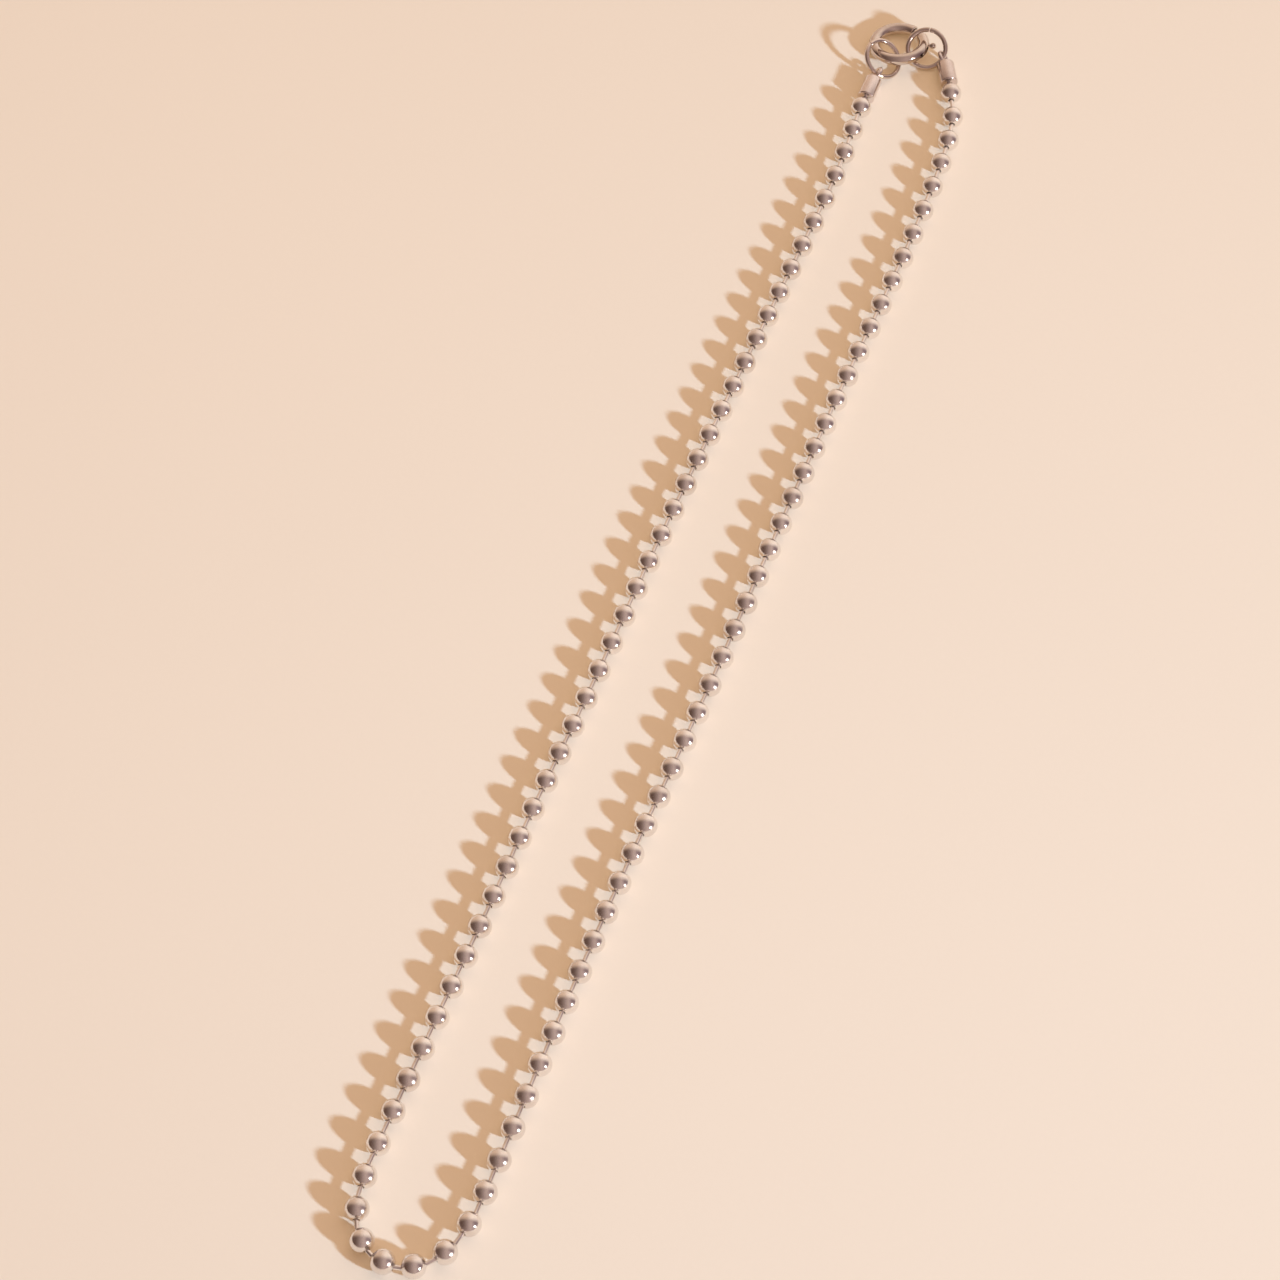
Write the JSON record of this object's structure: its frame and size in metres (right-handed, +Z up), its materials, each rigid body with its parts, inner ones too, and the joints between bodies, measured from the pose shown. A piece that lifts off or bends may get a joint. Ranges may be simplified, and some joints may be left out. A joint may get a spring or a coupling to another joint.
{
  "type": "ball chain necklace",
  "caption": "Hollow metal balls strung on short headed links to a closed necklace, with plain end caps, jump rings and a spring ring clasp; it lies as a long narrow loop.",
  "frame": {"origin": "in the middle of the outline seen from above, on the surface the necklace lies on", "axes": "+Y runs along the loop to the clasp, +Z is up from the surface, +X is to the right of the loop"},
  "size_m": [0.0194, 0.2038, 0.0039],
  "materials": {
    "ball_metal": "bright plated steel, with faint rolling marks",
    "link_metal": "bright plated wire",
    "cap_metal": "bright plated steel, slightly worn",
    "wire_metal": "polished round wire",
    "clasp_metal": "polished tube, slightly worn"
  },
  "bodies": {
    "necklace": {"balls": "ball_metal", "links": "link_metal", "end_cap_left": "cap_metal", "end_cap_right": "cap_metal", "jump_ring_left": "wire_metal", "jump_ring_right": "wire_metal", "spring_ring": "clasp_metal"},
    "bolt": {"bolt": "clasp_metal"}
  },
  "joints": [
    {"name": "bolt_slide", "type": "hinge", "parent": "necklace", "child": "bolt", "pos_m": [-0.00536, 0.09755, 0.0014], "axis": [0.1224, -0.1182, -0.9854], "range_deg": [0, 32], "stiffness_Nm_per_rad": 0.004, "springref_deg": -20.05}
  ]
}
